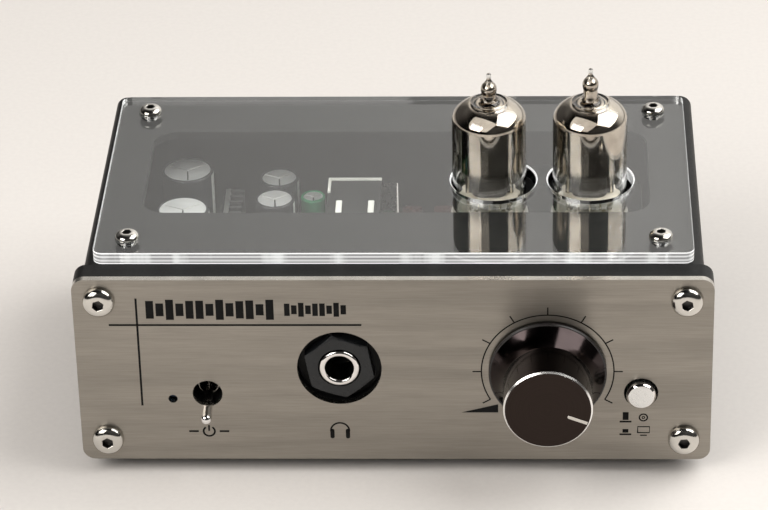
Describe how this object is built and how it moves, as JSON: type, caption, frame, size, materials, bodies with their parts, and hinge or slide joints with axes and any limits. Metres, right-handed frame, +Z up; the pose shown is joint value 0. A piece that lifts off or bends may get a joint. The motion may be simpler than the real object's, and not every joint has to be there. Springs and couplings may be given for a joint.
{
  "type": "tube headphone amplifier",
  "caption": "Small box-shaped tube headphone amplifier with a brushed front panel, volume knob, toggle switch, headphone jack, clear top cover and plug-in tubes standing through it.",
  "frame": {"origin": "centre of the object's footprint, front of the knob to rear of the line-in jacks, on the surface that the feet stand on", "axes": "+Z up, +X to the right of someone facing the controls, +Y from the front panel towards the rear connectors"},
  "size_m": [0.15, 0.1158, 0.0871],
  "materials": {
    "brushed_panel": "horizontally brushed, clear anodised",
    "black_anodised": "black anodised, satin",
    "clear_acrylic": "polished clear acrylic",
    "stainless_steel": "stainless steel, polished button heads",
    "foot_rubber": "matt moulded rubber",
    "tube_glass": "clear glass, silvered inside by the getter over its upper part",
    "electrode_metal": "grey carbonised nickel",
    "socket_ceramic": "unglazed steatite",
    "circuit_board": "green solder mask on glass-epoxy",
    "black_plastic": "moulded black nylon",
    "capacitor_sleeve": "heat-shrunk sleeve with a bare scored aluminium top",
    "green_sleeve": "green heat-shrunk sleeve",
    "film_capacitor": "dipped epoxy",
    "bare_aluminium": "mill finish",
    "knob_anodised": "glossy black-brown anodised aluminium with a turned face and a bright chamfer",
    "bright_chrome": "bright nickel plate",
    "button_metal": "satin aluminium with a bright chamfer",
    "lamp_lens": "clear lamp lens",
    "nickel_steel": "nickel-plated steel"
  },
  "bodies": {
    "chassis": {"front_panel": "brushed_panel", "front_bezel": "black_anodised", "body_shell": "black_anodised", "rear_panel": "black_anodised", "top_cover": "clear_acrylic", "circuit_board": "circuit_board", "tube_board": "circuit_board", "board_connector_left": "black_plastic", "board_connector_right": "black_plastic", "reservoir_capacitor_rear": "capacitor_sleeve", "reservoir_capacitor_front": "capacitor_sleeve", "output_capacitor_rear": "capacitor_sleeve", "output_capacitor_front": "capacitor_sleeve", "supply_choke": "green_sleeve", "output_relay": "black_plastic", "heat_sink": "bare_aluminium", "voltage_regulator": "black_plastic", "film_capacitor_left": "film_capacitor", "film_capacitor_right": "film_capacitor", "potentiometer": "bare_aluminium", "potentiometer_nut": "stainless_steel", "headphone_jack": "black_plastic", "jack_bushing": "bright_chrome", "jack_nut": "black_plastic", "toggle_switch": "black_plastic", "push_switch": "black_plastic", "power_lamp": "lamp_lens", "line_in_left": "nickel_steel", "line_in_right": "nickel_steel", "usb_socket": "nickel_steel", "power_inlet": "black_plastic", "front_screw_top_left": "stainless_steel", "front_screw_top_right": "stainless_steel", "front_screw_bottom_left": "stainless_steel", "front_screw_bottom_right": "stainless_steel", "rear_screw_top_left": "stainless_steel", "rear_screw_top_right": "stainless_steel", "rear_screw_bottom_left": "stainless_steel", "rear_screw_bottom_right": "stainless_steel", "cover_screw_front_left": "stainless_steel", "cover_screw_front_right": "stainless_steel", "cover_screw_rear_left": "stainless_steel", "cover_screw_rear_right": "stainless_steel", "foot_front_left": "foot_rubber", "foot_front_right": "foot_rubber", "foot_rear_left": "foot_rubber", "foot_rear_right": "foot_rubber", "tube_left_socket": "socket_ceramic", "tube_right_socket": "socket_ceramic"},
    "knob": {"volume_knob": "knob_anodised", "potentiometer_shaft": "bare_aluminium"},
    "power_lever": {"toggle_lever": "bright_chrome"},
    "button": {"source_button": "button_metal"},
    "tube_left": {"tube_left_envelope": "tube_glass", "tube_left_base": "tube_glass", "tube_left_electrodes": "electrode_metal"},
    "tube_right": {"tube_right_envelope": "tube_glass", "tube_right_base": "tube_glass", "tube_right_electrodes": "electrode_metal"}
  },
  "joints": [
    {"name": "volume_turn", "type": "hinge", "parent": "chassis", "child": "knob", "pos_m": [0.0363, -0.0412, 0.0288], "axis": [0, 1, 0], "range_deg": [-231.5, 8.5]},
    {"name": "power_toggle", "type": "hinge", "parent": "chassis", "child": "power_lever", "pos_m": [-0.0443, -0.0332, 0.0226], "axis": [-1, 0, 0], "range_deg": [0, 26]},
    {"name": "source_press", "type": "slide", "parent": "chassis", "child": "button", "axis": [0, 1, 0], "range_m": [0, 0.002], "stiffness_N_per_m": 400, "springref_m": -0.001},
    {"name": "tube_left_pull", "type": "slide", "parent": "chassis", "child": "tube_left", "axis": [0, 0, 1], "range_m": [0, 0.008]},
    {"name": "tube_right_pull", "type": "slide", "parent": "chassis", "child": "tube_right", "axis": [0, 0, 1], "range_m": [0, 0.008]}
  ]
}
